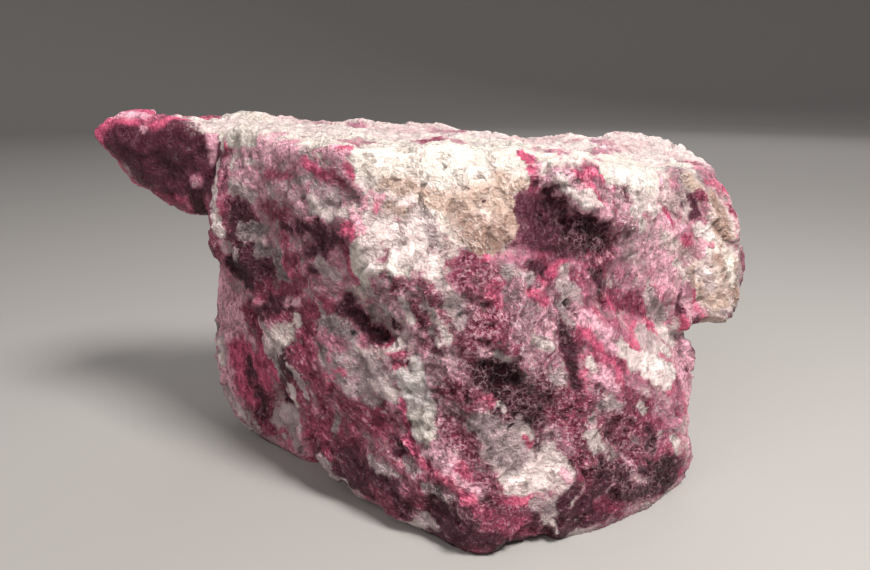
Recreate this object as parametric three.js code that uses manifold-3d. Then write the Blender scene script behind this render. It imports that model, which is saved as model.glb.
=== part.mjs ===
// Raw thulite: one rough lump of pink zoisite rock grown through with grey and white quartz.
// The lump broke along flat fracture faces. Each of its masses is the hull of a few corners, the masses are
// fused, hollows are broken out of them, and the whole skin is then roughened as broken stone is.
// Millimetres, +Z up, +X along the length to the thick end, -Y towards the front. The origin is on the
// resting face.
import * as THREE from "three";
import { ConvexGeometry } from "three/addons/geometries/ConvexGeometry.js";
import { ImprovedNoise } from "three/addons/math/ImprovedNoise.js";
import { TessellateModifier } from "three/addons/modifiers/TessellateModifier.js";
import { mergeVertices } from "three/addons/utils/BufferGeometryUtils.js";
import Module from "manifold-3d";

const wasm = await Module();
wasm.setup();

const TOP_LEFT = 71; // height of the top at the fin end
const TOP_RIGHT = 63; // height of the top at the thick end
const LONGEST_EDGE = 5.7; // of a facet on the finished skin
const NEARLY_LEVEL = THREE.MathUtils.degToRad(24); // most bend between two facets that may be squared up
const LEAST_GAIN = 0.01; // radians of corner angle that squaring two facets up has to win
const MOST_ROUNDS = 40; // passes of splitting or squaring up before it stops by itself
const SAME_SPOT = 1e-4; // corners closer than this are one corner
const WEAR = 0.35; // share of the way that each corner is drawn back
const WEAR_SPREAD = 0.3; // evens out the pull of very near neighbours
const ROUGHNESS = [
  { pitch: 13, reach: 2.2 }, // lumps
  { pitch: 5, reach: 1 }, // grain
];
const REST_FADE = 4; // height over which the roughness fades in above the resting face
// where in the noise the steps along x, y and z are read
const NOISE_SPOTS = [new THREE.Vector3(11, 5, 8), new THREE.Vector3(23, 32, 2), new THREE.Vector3(6, 17, 41)];

// The masses, as corner points. A mass reaches well into its neighbours, so that they fuse.
const MASSES = {
  // the pink body that the rest is grown on, set back at the left under the slab
  rearBody: [
    [-46, 6, 43], [-48, 5, 35], [-46, 6, 27], [-48, 5, 21], [-49, 6, 11], [-47, 6, 4], [-44, 8, 0],
    [-27, -7, 40], [-27, -6, 0], [-44, 26, 46], [-40, 32, 22], [-32, 29, 0], [-8, 38, 52], [-10, 37, 14],
    [-2, 33, 0], [38, 39, 46], [34, 37, 12], [40, 30, 0], [56, 25, 40], [52, 16, 0], [49, -2, 0],
    [50, 1, 28], [-40, 12, 68], [-34, 28, 66], [0, 32, 67], [40, 33, 64], [54, 26, 62], [52, 8, 61],
    [38, -4, 62], [14, -14, 66], [-12, -14, 68], [20, -10, 0],
  ],
  // the shaded slab at the front left: one long fracture face, its foot clear of the ground
  upperSlab: [
    [-42, -5, TOP_LEFT], [-14, -23, 69], [-14, -23, 51], [-15, -24, 45], [-17, -22, 41], [-38, -9, 39],
    [-43, -6, 43], [-45, -4, 52], [-43, -5, 62], [-40, 12, 70], [-40, 8, 46], [-8, 4, 68], [-16, 0, 36],
    [-10, -16, 42],
  ],
  middleSlab: [
    [-38, -9, 39], [-17, -22, 41], [-7, -29, 35], [-4, -31, 26], [0, -34, 17], [-17, -23, 3], [-25, -18, 9],
    [-27, -17, 17], [-28, -16, 24], [-31, -13, 32], [0, -27, 34], [5, -29, 25], [8, -31, 17], [-26, -4, 43],
    [-20, 0, 5], [6, -10, 24], [8, -10, 4],
  ],
  toe: [
    [0, -34, 17], [7, -39, 8], [6, -38, 1], [6, -37, 0], [-4, -32, 2], [-17, -23, 3], [-12, -20, 0],
    [8, -31, 17], [15, -35, 7], [12, -38, 1], [11, -37, 0], [2, -14, 16], [-14, -2, 0], [16, -4, 0],
  ],
  // white quartz at the front of the top, leaning back
  quartzHead: [
    [-14, -23, 69], [-1, -24, 68], [15, -22, 68], [-13, -25, 59], [-13, -26, 51], [-15, -24, 45],
    [-5, -29, 45], [6, -31, 46], [14, -30, 46], [17, -25, 61], [17, -27, 50], [17, -28, 46],
    [-10, -18, 40], [14, -20, 40], [-8, 0, 68], [15, 0, 67], [15, 0, 42], [-10, 0, 42],
  ],
  // the granular swell below it, down to the foot
  frontSwell: [
    [-5, -29, 45], [6, -31, 46], [14, -30, 46], [-14, -22, 44], [-16, -22, 40], [20, -27, 42], [23, -25, 42],
    [-2, -29, 34], [4, -31, 25], [9, -33, 16], [16, -35, 8], [23, -28, 33],
    [24, -30, 20], [24, -31, 8], [23, -31, 0], [17, -35, 0], [12, -37, 2], [-4, 0, 43], [22, 0, 42],
    [22, 0, 0], [4, -10, 0],
  ],
  // the shoulder: a lit crest that overhangs a steep dark face
  shoulderCrest: [
    [15, -22, 68], [21, -19, 66], [16, -24, 65], [20, -26, 62], [27, -26, 58], [33, -22, 54], [33, -14, 64],
    [40, -9, TOP_RIGHT], [38, -15, 56], [18, -20, 58], [30, -14, 50], [14, 0, 66], [40, 2, 62], [38, 2, 50],
    [16, 0, 54],
  ],
  darkFace: [
    [16, -21, 64], [16, -24, 56], [16, -26, 49], [17, -28, 46], [20, -27, 42], [31, -18, 55], [32, -18, 40],
    [14, 0, 63], [32, 0, 61], [30, 0, 37], [14, 0, 37],
  ],
  // the fibrous pink face at the upper right, above the ledge
  rightFace: [
    [32, -15, 64], [42, -8, TOP_RIGHT], [56, 4, 62], [30, -20, 52], [43, -12, 53], [52, -4, 52],
    [29, -20, 40], [39, -13, 33], [47, -7, 30], [52, -3, 30], [22, -2, 62], [48, 14, 60], [48, 14, 32],
    [24, -3, 36],
  ],
  // the block at the lower right, whose top is the ledge
  ledgeBlock: [
    [24, -28, 40], [27, -26, 37], [33, -24, 29], [38, -21, 27], [44, -18, 23], [50, -15, 17], [52, -4, 29],
    [45, -7, 31], [30, -14, 38], [18, -32, 21], [17, -34, 8], [22, -36, 4], [21, -35, 0], [25, -34, 0],
    [34, -29, 1], [42, -23, 0], [50, -16, 3], [52, -12, 0], [52, -10, 9], [23, -8, 36], [20, -8, 0],
    [47, 10, 27], [47, 10, 0],
  ],
  ledgeStep: [
    [24, -28, 40], [27, -27, 39], [33, -24, 30], [36, -19, 33], [29, -18, 41], [26, -15, 42], [26, -26, 33],
    [34, -11, 30], [25, -11, 34],
  ],
  // the pale end that hangs out over the ground at the right
  rightEnd: [
    [48, -2, 62], [57, 4, 62], [60, 0, 56], [61, -5, 47], [63, -6, 41], [63, -5, 37], [61, -4, 33],
    [60, -3, 28], [53, -6, 29], [52, -8, 43], [51, -5, 54], [61, 20, 62], [66, 10, 44], [64, 22, 44],
    [62, 16, 30], [44, 8, 60], [42, 8, 34], [44, 26, 60], [44, 28, 36],
  ],
  // a nub of pink under that end
  nub: [
    [46, -9, 35], [49, -11, 36], [51, -11, 34], [50, -11, 31], [47, -10, 31], [52, -8, 33], [46, -4, 36],
    [52, -2, 36], [52, -2, 30], [46, -4, 30],
  ],
  // the thin fin that juts out at the upper left
  fin: [
    [-70, 6, 66], [-71, 8, 70], [-69, 10, 72], [-71, 13, 68], [-68, 10, 61], [-65, 9, 57], [-61, 8, 56],
    [-52, 5, 54], [-45, -1, 51], [-42, -1, 71], [-50, 8, 72], [-67, 20, 70], [-57, 27, 69], [-42, 28, 70],
    [-46, 24, 55], [-36, 2, 56], [-36, 12, 70],
  ],
  // the top: a higher tier along the back, and the hump over the thick end
  topTier: [
    [-46, 9, 72], [-40, 10, 73], [-46, 20, 72], [-33, 12, 71], [-36, 26, 70], [-23, 22, 70], [-18, 30, 68],
    [-34, 4, 67], [-20, 33, 60], [-40, 28, 60], [-10, 10, 67],
  ],
  backTier: [
    [-24, 14, 68], [-20, 24, 70], [0, 28, 69], [12, 26, 68], [25, 28, 66], [23, 8, 65], [-14, 4, 67],
    [0, 38, 60], [24, 39, 58], [-22, 32, 58],
  ],
  thickEndHump: [
    [21, 17, 65], [36, 28, 67], [50, 28, 67], [59, 26, 66], [62, 18, 62], [52, 8, 63], [36, 2, 64],
    [20, 31, 65], [30, 40, 56], [56, 32, 54], [62, 24, 54],
  ],
  // fracture steps at the back: a heavy brow, a slanting rib, and a foot
  backBrow: [
    [-34, 29, 64], [-10, 38, 63], [18, 42, 61], [42, 39, 59], [57, 29, 57], [55, 34, 46], [34, 44, 42],
    [6, 42, 47], [-22, 36, 50], [-38, 29, 52], [-20, 10, 62], [42, 10, 60], [40, 10, 42], [-24, 10, 50],
  ],
  backRib: [
    [-26, 35, 47], [-10, 41, 50], [6, 45, 40], [18, 46, 26], [22, 43, 10], [12, 42, 4], [0, 42, 14],
    [-14, 39, 28], [0, 18, 36], [-16, 18, 42], [14, 18, 12],
  ],
  backFoot: [
    [-6, 38, 18], [14, 41, 22], [36, 38, 26], [48, 31, 18], [46, 32, 5], [38, 33, 0], [16, 37, 0],
    [-4, 35, 0], [10, 14, 26], [42, 14, 28], [42, 14, 0], [0, 14, 0],
  ],
  leftHeel: [
    [-47, 14, 26], [-44, 26, 30], [-34, 33, 26], [-22, 36, 12], [-20, 32, 0], [-34, 27, 0], [-45, 16, 4],
    [-47, 10, 10], [-20, 10, 24], [-20, 10, 0],
  ],
};

// Hollows broken out of the masses, as corner points that reach out into the air.
const HOLLOWS = {
  // behind the upper edge of the slab, under the quartz
  slabRecess: [
    [-16, -20.5, 40], [-12, -21.5, 36.5], [-8.5, -23.5, 34], [-15, -23, 42], [-9, -26.5, 43.5],
    [-4.5, -29.5, 41.5], [-5, -29.5, 38.5], [-15, -34, 45], [-10, -36, 39.5], [-6, -38, 38], [-4, -38, 39],
    [-3.5, -38, 45.5], [-8.5, -36, 47.5], [-14, -34, 46],
  ],
  pit: [
    [10, -29, 31], [12, -29, 31], [12.5, -29.5, 28], [10, -30.5, 28], [5.5, -34, 36], [9.5, -33, 39],
    [13.5, -33, 37], [15.5, -34.5, 33.5], [14, -36.5, 27.5], [9, -37.5, 27], [4, -37, 31],
  ],
  // the groove beside the ledge block
  ledgeGroove: [
    [22.5, -24.5, 38], [22.5, -25, 34], [23, -29, 26], [22.5, -27, 41], [20, -30, 38], [19.5, -32, 34],
    [22, -35, 26], [25, -33, 26], [25.5, -31, 34], [25, -30, 38],
  ],
  // scoops at the back
  backScoop: [
    [30, 37, 40], [44, 34, 40], [50, 31, 30], [38, 36, 27], [28, 40, 30], [30, 56, 44], [56, 50, 42],
    [54, 48, 26], [30, 56, 24],
  ],
  backChip: [
    [-30, 34, 46], [-22, 35, 44], [-18, 35, 34], [-28, 31, 32], [-36, 30, 38], [-34, 46, 48], [-14, 50, 44],
    [-18, 48, 28], [-40, 42, 30],
  ],
  // under the overhanging end
  endHollow: [
    [53, -8, 31], [54, 2, 32], [70, -16, 26], [70, 6, 26], [54, 6, 20], [53, -12, 20], [72, 4, 8],
    [60, -20, 12], [72, 26, 22], [58, 24, 18],
  ],
  footNotch: [
    [17, -31, -1], [19, -33, 3], [21, -38, 3], [17, -38, 3], [22, -38, -1], [16, -38, -1], [20, -31, -1],
  ],
  // a dark niche low on the left
  rearNiche: [
    [-41, 3, 18], [-38, 0, 17], [-36, -2, 5], [-40, 3, 3], [-42, -8, 17], [-38, -12, 12], [-38, -10, 2],
  ],
  // a trough along the top, between the front edge and the tiers
  topTrough: [
    [22, -13, 65], [27, -11, 63], [43, -3, 62], [48, -2, 64], [20, -6, 67], [45, 6, 66], [28, -9, 74],
    [46, 0, 74],
  ],
};

function hull(corners) {
  return new ConvexGeometry(corners.map((corner) => new THREE.Vector3(...corner)));
}

function toSolid(geometry) {
  const bare = geometry.clone();
  bare.deleteAttribute("normal");
  bare.deleteAttribute("uv");
  const merged = mergeVertices(bare, SAME_SPOT);
  return new wasm.Manifold(
    new wasm.Mesh({
      numProp: 3,
      vertProperties: merged.getAttribute("position").array,
      triVerts: new Uint32Array(merged.index.array),
    }),
  );
}

function toGeometry(solid) {
  const mesh = solid.getMesh();
  return new THREE.BufferGeometry()
    .setAttribute("position", new THREE.BufferAttribute(mesh.vertProperties, 3))
    .setIndex(new THREE.BufferAttribute(mesh.triVerts, 1));
}

// Turns the edge between two nearly level facets wherever that makes them less like needles.
function squareUp(geometry) {
  const places = geometry.getAttribute("position");
  const spot = (i) => new THREE.Vector3().fromBufferAttribute(places, i);
  const normalOf = (facet) => new THREE.Triangle(...facet.map(spot)).getNormal(new THREE.Vector3());
  const angleAt = (tip, a, b) => spot(a).sub(spot(tip)).angleTo(spot(b).sub(spot(tip)));
  const facets = [];
  for (let i = 0; i < geometry.index.count; i += 3) {
    facets.push([...geometry.index.array.slice(i, i + 3)]);
  }
  for (let round = 0; round < MOST_ROUNDS; round += 1) {
    const owner = new Map();
    facets.forEach((facet, f) => facet.forEach((a, k) => owner.set(`${a}>${facet[(k + 1) % 3]}`, f)));
    const turned = new Set();
    for (const [side, f] of owner) {
      const [a, b] = side.split(">").map(Number);
      const g = owner.get(`${b}>${a}`);
      if (a > b || turned.has(f) || turned.has(g)) continue;
      const c = facets[f].find((v) => v !== a && v !== b);
      const d = facets[g].find((v) => v !== a && v !== b);
      if (owner.has(`${c}>${d}`) || owner.has(`${d}>${c}`)) continue;
      if (angleAt(c, a, b) + angleAt(d, a, b) < Math.PI + LEAST_GAIN) continue;
      const now = [[c, a, d], [d, b, c]];
      const normals = [facets[f], facets[g], ...now].map(normalOf);
      if (Math.min(...normals.map((n) => n.dot(normals[0]))) < Math.cos(NEARLY_LEVEL)) continue;
      [facets[f], facets[g]] = now;
      [f, g].forEach((t) => turned.add(t));
    }
    if (turned.size === 0) break;
  }
  return geometry.setIndex(facets.flat());
}

// Broken edges wear: each corner is drawn a little towards its neighbours, most towards the nearest.
function wear(geometry) {
  const places = geometry.getAttribute("position");
  const corners = geometry.index.array;
  const pull = Array.from({ length: places.count }, () => ({ sum: new THREE.Vector3(), weight: 0 }));
  const here = new THREE.Vector3();
  const there = new THREE.Vector3();
  for (let i = 0; i < corners.length; i += 1) {
    const next = i % 3 === 2 ? i - 2 : i + 1;
    here.fromBufferAttribute(places, corners[i]);
    there.fromBufferAttribute(places, corners[next]);
    const weight = 1 / (here.distanceTo(there) + WEAR_SPREAD);
    pull[corners[i]].sum.addScaledVector(there, weight);
    pull[corners[i]].weight += weight;
    pull[corners[next]].sum.addScaledVector(here, weight);
    pull[corners[next]].weight += weight;
  }
  pull.forEach(({ sum, weight }, i) => {
    here.fromBufferAttribute(places, i);
    const isResting = here.z < SAME_SPOT;
    here.lerp(sum.divideScalar(weight), WEAR);
    places.setXYZ(i, here.x, here.y, isResting ? 0 : here.z);
  });
  return geometry;
}

const noise = new ImprovedNoise();

// A smooth random number for a place, the same wherever that place is asked for.
function drift(point, pitch, spot) {
  const place = point.clone().divideScalar(pitch).add(spot);
  return noise.noise(place.x, place.y, place.z);
}

function roughen(geometry) {
  const places = geometry.getAttribute("position");
  const point = new THREE.Vector3();
  for (let i = 0; i < places.count; i += 1) {
    point.fromBufferAttribute(places, i);
    const step = new THREE.Vector3();
    for (const { pitch, reach } of ROUGHNESS) {
      const push = NOISE_SPOTS.map((spot) => drift(point, pitch, spot));
      step.addScaledVector(new THREE.Vector3(...push), reach);
    }
    step.z *= THREE.MathUtils.smoothstep(point.z, 0, REST_FADE);
    point.add(step);
    places.setXYZ(i, point.x, point.y, point.z);
  }
  return geometry;
}

let stone = null;
for (const corners of Object.values(MASSES)) {
  const mass = toSolid(hull(corners));
  stone = stone ? stone.add(mass) : mass;
}
for (const corners of Object.values(HOLLOWS)) {
  stone = stone.subtract(toSolid(hull(corners)));
}

const blocky = squareUp(toGeometry(stone));
const faceted = new TessellateModifier(LONGEST_EDGE, MOST_ROUNDS).modify(blocky.toNonIndexed());
const skin = roughen(wear(squareUp(mergeVertices(faceted, SAME_SPOT))));
skin.computeVertexNormals();

const thulite = new THREE.Mesh(
  skin,
  new THREE.MeshStandardMaterial({ color: 0xa5607a, roughness: 0.6, metalness: 0 }),
);
thulite.name = "thulite_stone";

const group = new THREE.Group();
group.name = "raw_thulite";
group.add(thulite);
export default group;
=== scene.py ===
"""Raw thulite: a rough lump of pink zoisite rock, grown through with grey, white and honey quartz."""

import itertools
import math

import bmesh
import bpy
import numpy as np
from mathutils import Euler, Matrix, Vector
from mathutils.bvhtree import BVHTree


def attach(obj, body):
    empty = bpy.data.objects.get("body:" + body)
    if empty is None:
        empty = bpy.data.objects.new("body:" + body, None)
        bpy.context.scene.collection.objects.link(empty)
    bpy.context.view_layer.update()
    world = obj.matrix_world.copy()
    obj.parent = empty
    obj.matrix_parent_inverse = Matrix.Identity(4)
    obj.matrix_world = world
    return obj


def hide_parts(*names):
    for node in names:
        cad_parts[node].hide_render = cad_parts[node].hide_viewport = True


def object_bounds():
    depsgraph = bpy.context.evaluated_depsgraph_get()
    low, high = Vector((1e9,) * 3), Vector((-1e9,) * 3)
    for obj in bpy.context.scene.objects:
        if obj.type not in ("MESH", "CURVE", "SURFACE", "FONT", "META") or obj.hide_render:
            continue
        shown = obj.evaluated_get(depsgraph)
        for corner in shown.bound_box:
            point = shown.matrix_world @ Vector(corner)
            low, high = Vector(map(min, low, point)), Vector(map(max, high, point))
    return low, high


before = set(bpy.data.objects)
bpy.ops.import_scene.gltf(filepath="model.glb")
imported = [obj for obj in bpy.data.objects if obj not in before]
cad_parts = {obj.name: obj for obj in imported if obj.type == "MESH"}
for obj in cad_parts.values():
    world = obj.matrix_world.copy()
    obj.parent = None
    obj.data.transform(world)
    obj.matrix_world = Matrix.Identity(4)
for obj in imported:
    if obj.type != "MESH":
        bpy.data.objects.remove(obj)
cad_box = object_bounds()

# ==== The lump ====
# Raw thulite is zoisite rock that manganese has coloured pink, grown through with quartz. This lump was
# split out of its vein with a hammer and left rough, so every face of it is a broken one. It is one piece,
# and it lies free.
MM = 0.001

# The solid holds the great fracture faces. The skin laid over it is made of small even faces, fine enough
# to carry the chips and grains of the broken surface.
SKIN_STEP = 0.7  # mm between the skin's points
WELD = 0.001  # mm within which the solid's loose corners are one


def even_skin(solid):
    """A new object with a solid's surface, divided into small even faces."""
    uneven = bpy.data.objects.new("uneven skin", solid.data.copy())
    bpy.context.scene.collection.objects.link(uneven)
    shell = bmesh.new()
    shell.from_mesh(uneven.data)
    bmesh.ops.remove_doubles(shell, verts=shell.verts, dist=WELD * MM)
    shell.to_mesh(uneven.data)
    shell.free()
    remesh = uneven.modifiers.new("even faces", "REMESH")
    remesh.mode = "VOXEL"
    remesh.voxel_size = SKIN_STEP * MM
    ready = bpy.context.evaluated_depsgraph_get()
    mesh = bpy.data.meshes.new_from_object(uneven.evaluated_get(ready))
    mesh.name = "thulite_lump"
    bpy.data.objects.remove(uneven)
    even = bpy.data.objects.new("thulite_lump", mesh)
    bpy.context.scene.collection.objects.link(even)
    return even


lump = even_skin(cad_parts["thulite_stone"])
count = len(lump.data.vertices)
stepped = np.empty(count * 3)
lump.data.vertices.foreach_get("co", stepped)
stepped = stepped.reshape(-1, 3) / MM
edges = np.empty(len(lump.data.edges) * 2, np.int64)
lump.data.edges.foreach_get("vertices", edges)
edges = edges.reshape(-1, 2)
neighbours = np.bincount(edges.ravel(), minlength=count)[:, None]


def smoothed(values, rounds):
    """Values at the skin's points, each averaged with its neighbours' as many times as asked."""
    for _ in range(rounds):
        total = np.empty_like(values)
        for axis in range(values.shape[1]):
            total[:, axis] = np.bincount(edges[:, 0], values[edges[:, 1], axis], count)
            total[:, axis] += np.bincount(edges[:, 1], values[edges[:, 0], axis], count)
        values = 0.5 * values + 0.5 * total / neighbours
    return values


def step_between(low, high, value):
    """0 below low, 1 above high and a smooth ramp between."""
    t = np.clip((value - low) / (high - low), 0, 1)
    return t * t * (3 - 2 * t)


# The solid's flat facets are taken out where they are shallow, and its real edges are kept.
SOFT_ROUNDS = 16  # rounds of smoothing that take the facets out
FIRM_ROUNDS = 5  # rounds that leave the real edges
EDGE_FROM, EDGE_FULL = 0.25, 0.7  # mm between the two, from which an edge is kept a little, and in full
EDGE_ROUNDS = 4  # rounds that blend the kept edges in
soft = smoothed(stepped, SOFT_ROUNDS)
firm = smoothed(stepped, FIRM_ROUNDS)
sharpness = np.linalg.norm(firm - soft, axis=1)[:, None]
base = soft + (firm - soft) * smoothed(step_between(EDGE_FROM, EDGE_FULL, sharpness), EDGE_ROUNDS)

# Thulite runs from near black, where it is dense, to a vivid rose where it is pure. Quartz fills the gaps
# between its grains, and stands as masses of its own: milky and cream at the head, grey in the slab, honey
# and tan in the head and at the right end.
THULITE = {"ink": "3e1725", "plum": "532135", "wine": "923c58", "mauve": "bb748c", "rose": "d25c7f",
           "blush": "f3b3c6", "petal": "e3bfc2"}
QUARTZ = {"cream": "efe2da", "white": "fff1ef", "milk": "efdad9", "grey": "bba4a7", "sage": "7f6d73",
          "honey": "cfb2a4", "tan": "b08f82"}

# How much quartz each one holds. At 0 it is thulite, with a grain of quartz here and there, and at 1 it is
# quartz with a grain of thulite in it. Below 0 and above 1 it is nearly pure.
SHARE = {"ink": -0.15, "plum": 0.0, "wine": 0.12, "mauve": 0.36, "rose": 0.0, "blush": 0.25, "petal": 0.5,
         "cream": 1.3, "white": 1.5, "milk": 1.0, "grey": 0.78, "sage": 0.74, "honey": 1.35, "tan": 1.3}

# Each patch is a mineral, how far it reaches, and the spots that it runs through. A later patch lies over
# an earlier one. Those on the top are seen from above: mm to the right and mm back, with the reach in mm.
TOP = [
    ("cream", 8, (-36, -6), (-14, -20), (2, -22), (14, -19)),
    ("cream", 7, (22, -12), (36, -8)),
    ("milk", 13, (-40, 6), (-20, 4), (10, 4), (35, 10), (52, 20)),
    ("milk", 12, (-30, 22), (0, 24), (30, 28), (50, 30)),
    ("cream", 6, (-12, -8), (20, -6), (40, 0)),
    ("petal", 4, (-34, 16), (-20, 18), (-6, 16)),
    ("petal", 5, (14, 14), (30, 16), (44, 22)),
    ("petal", 4, (-8, 24), (12, 22), (26, 24)),
    ("petal", 4, (30, 30), (52, 32)),
    ("petal", 6, (-46, 20), (-30, 30), (-10, 34)),
    ("mauve", 2.5, (-25, 17), (-20, 19), (-16, 17)),
    ("mauve", 2, (0, 23), (5, 25), (8, 22)),
    ("mauve", 2.5, (28, 16), (34, 20), (38, 19)),
    ("mauve", 2, (-16, -15), (-12, -12)),
    ("mauve", 2.5, (-3, -8), (0, -14), (3, -13)),
    ("wine", 1.5, (-1, -12), (0, -14)),
    ("mauve", 2, (18, -15), (22, -18)),
    ("mauve", 2.5, (24, -14), (28, -8), (31, -5)),
    ("mauve", 2, (33, 3), (38, 8), (40, 14)),
    ("wine", 1.5, (51, 9), (54, 7)),
    ("rose", 9, (-66, 8), (-52, 16)),
    ("wine", 5, (-60, 24), (-46, 26)),
    ("blush", 3, (-60, 14), (-50, 12)),
]

# Those on the front are seen by the camera: pixels across and down in its frame, with the reach in pixels
# too.
FRAME_WIDE, FRAME_HIGH = 870, 570  # pixels
LENS, SENSOR = 28.97, 36.0  # mm
EYE = Vector((0, -140, 78))  # mm, where the camera stands
LOOKS_DOWN = math.radians(16)

# The broad ground of every face, under all that follows. Low on the front it is plum and ink, darker
# towards the ground: painted shade.
GROUND = [
    ("mauve", 30, (240, 160), (330, 190)),
    ("blush", 14, (225, 150), (290, 150)),
    ("plum", 22, (240, 225), (262, 275)),
    ("mauve", 26, (300, 230), (340, 260)),
    ("wine", 22, (275, 300), (325, 325)),
    ("plum", 22, (292, 370), (318, 400)),
    ("wine", 28, (310, 400), (345, 440)),
    ("plum", 28, (330, 465), (385, 492)),
    ("wine", 26, (240, 330), (262, 400)),
    ("rose", 12, (240, 330), (262, 380)),
    ("blush", 14, (222, 290), (228, 380)),
    ("mauve", 30, (430, 300), (465, 340)),
    ("wine", 16, (440, 310), (470, 345)),
    ("wine", 16, (520, 340), (545, 380)),
    ("wine", 14, (465, 440), (492, 470)),
    ("wine", 12, (505, 262), (545, 268)),
    ("mauve", 18, (600, 196), (640, 235)),
    ("blush", 14, (552, 182), (600, 212)),
    ("wine", 26, (490, 300), (500, 330)),
    ("mauve", 26, (530, 300), (545, 350)),
    ("plum", 22, (500, 385), (545, 405)),
    ("mauve", 26, (440, 380), (460, 400)),
    ("blush", 16, (425, 440), (455, 480)),
    ("plum", 30, (450, 520), (520, 535)),
    ("ink", 12, (500, 545), (545, 540)),
    ("wine", 24, (575, 420), (590, 470)),
    ("plum", 24, (600, 490), (670, 470)),
    ("wine", 22, (610, 420), (650, 410)),
    ("mauve", 24, (600, 250), (640, 300)),
    ("blush", 22, (655, 230), (690, 300)),
    ("petal", 18, (665, 158), (690, 200)),
    ("wine", 22, (540, 200), (600, 250)),
]
# The fin: dense dark thulite, its plum and ink face partly its own colour and partly painted shade, with a
# vivid rose rim where it was split thin, partly its own colour and partly painted light glowing through the
# thin edge.
FIN = [
    ("plum", 34, (125, 145), (160, 152), (198, 160)),
    ("plum", 22, (145, 178), (192, 185)),
    ("ink", 13, (196, 196), (204, 214)),
    ("ink", 9, (162, 162), (176, 172)),
    ("mauve", 7, (196, 181)),
    ("rose", 4, (104, 118), (130, 121), (160, 123), (190, 119)),
    ("rose", 3, (98, 124), (101, 140), (107, 155)),
    ("rose", 4, (112, 163), (124, 175), (131, 185), (145, 192)),
    ("wine", 4, (150, 194), (185, 202)),
    ("blush", 5, (142, 127)),
    ("blush", 5, (112, 116), (150, 115), (192, 113)),
]
# The slab's upper end: mottled rose and grey under a pale upper edge.
SLAB_TOP = [
    ("cream", 10, (216, 118), (245, 116), (268, 124)),
    ("cream", 9, (285, 127), (320, 125), (350, 130)),
    ("cream", 11, (222, 134), (250, 138)),
    ("blush", 6, (212, 136), (213, 158)),
    ("rose", 6, (228, 147)),
    ("wine", 5, (224, 155)),
    ("milk", 9, (236, 162), (252, 168)),
    ("mauve", 9, (232, 178), (246, 186)),
    ("milk", 6, (216, 168), (213, 192), (214, 214), (221, 232)),
    ("grey", 8, (236, 190), (250, 196)),
    ("blush", 7, (260, 140), (290, 137)),
    ("blush", 8, (256, 152), (300, 150)),
    ("blush", 7, (262, 154), (280, 158)),
    ("mauve", 9, (256, 174), (292, 176)),
    ("wine", 6, (270, 172), (290, 178)),
    ("blush", 6, (305, 138)),
    ("blush", 5, (268, 158)),
    ("grey", 7, (304, 152), (308, 162)),
    ("mauve", 6, (313, 147), (320, 168)),
    ("blush", 6, (320, 150), (334, 154)),
    ("blush", 8, (334, 148), (350, 152)),
    ("rose", 3, (340, 148), (350, 150)),
    ("blush", 8, (342, 162), (352, 178)),
    ("rose", 4, (346, 164), (354, 176)),
    ("wine", 6, (330, 168), (344, 184)),
    ("mauve", 5, (326, 160), (334, 166)),
    ("grey", 5, (304, 180), (312, 176)),
    ("grey", 9, (320, 190), (330, 196)),
    ("milk", 8, (312, 204), (322, 210), (330, 213)),
    ("mauve", 12, (262, 186), (294, 200)),
    ("wine", 10, (264, 207), (280, 212)),
    ("plum", 10, (236, 206), (248, 216), (240, 248)),
    ("blush", 5, (300, 206)),
    ("milk", 6, (342, 212), (356, 214)),
    ("rose", 8, (348, 228), (357, 234)),
    ("plum", 10, (300, 228), (326, 232)),
    ("plum", 9, (322, 240), (338, 240)),
    ("plum", 7, (308, 250), (324, 251)),
    ("plum", 5, (280, 225), (290, 230)),
    ("wine", 8, (345, 250)),
    ("sage", 11, (244, 232), (262, 232)),
    ("sage", 8, (262, 250), (278, 254)),
    ("grey", 8, (226, 250), (236, 255)),
    ("ink", 8, (230, 263), (245, 268)),
    ("blush", 10, (240, 165), (262, 190)),
    ("rose", 5, (304, 160), (326, 176)),
    ("rose", 6, (352, 234), (356, 246)),
]
# The recess beside it, with quartz round its mouth.
RECESS = [
    ("milk", 13, (362, 250), (372, 264)),
    ("milk", 11, (362, 215), (366, 240)),
    ("blush", 5, (361, 190), (363, 205)),
    ("rose", 5, (349, 262), (352, 276), (362, 284)),
    ("blush", 5, (372, 278), (388, 284)),
    ("cream", 9, (395, 262), (402, 270)),
    ("cream", 9, (356, 252), (362, 280)),
]
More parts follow.
